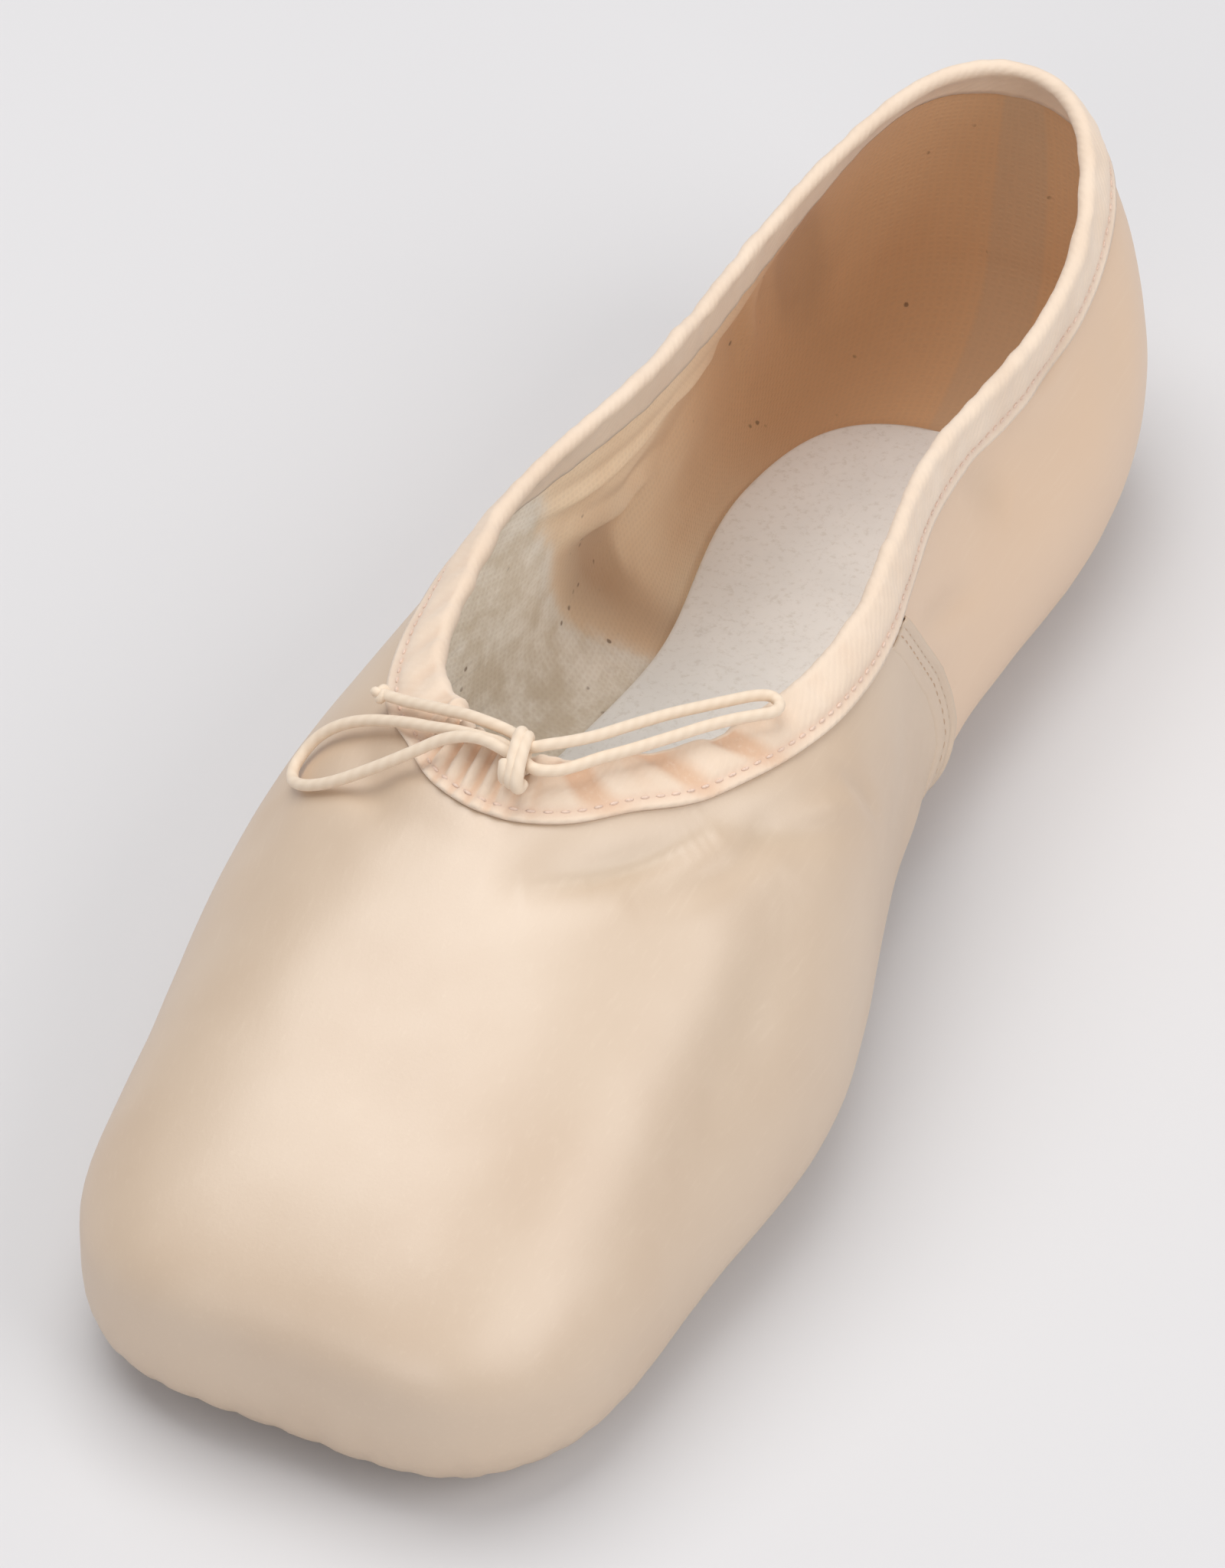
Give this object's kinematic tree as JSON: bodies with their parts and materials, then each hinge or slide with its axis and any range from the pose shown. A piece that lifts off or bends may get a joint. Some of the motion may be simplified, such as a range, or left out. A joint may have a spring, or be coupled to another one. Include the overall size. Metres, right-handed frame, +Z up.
{
  "type": "pointe shoe",
  "caption": "Satin pointe shoe with a stiff flat-ended toe box, bound low collar with a drawstring bow, light sock and a narrow leather outsole.",
  "frame": {"origin": "on the floor under the middle of the shoe", "axes": "+X from the heel to the toe, +Y to the shoe's left side, +Z up"},
  "size_m": [0.239, 0.0822, 0.0611],
  "materials": {
    "satin": "satin weave, soft sheen",
    "sole_leather": "smooth sole leather, scuffed",
    "sock_board": "matt board with a fine texture",
    "binding_cotton": "matt cotton",
    "strip_satin": "satin weave, soft sheen",
    "elastic_cord": "matt elastic cord"
  },
  "bodies": {
    "root": {"upper": "satin", "outsole": "sole_leather", "insole": "sock_board", "collar_binding": "binding_cotton", "heel_strip": "strip_satin", "drawstring_knot": "elastic_cord", "drawstring_loop_left": "elastic_cord", "drawstring_loop_right": "elastic_cord", "drawstring_end": "elastic_cord", "drawstring_end_knot": "elastic_cord"}
  },
  "joints": []
}
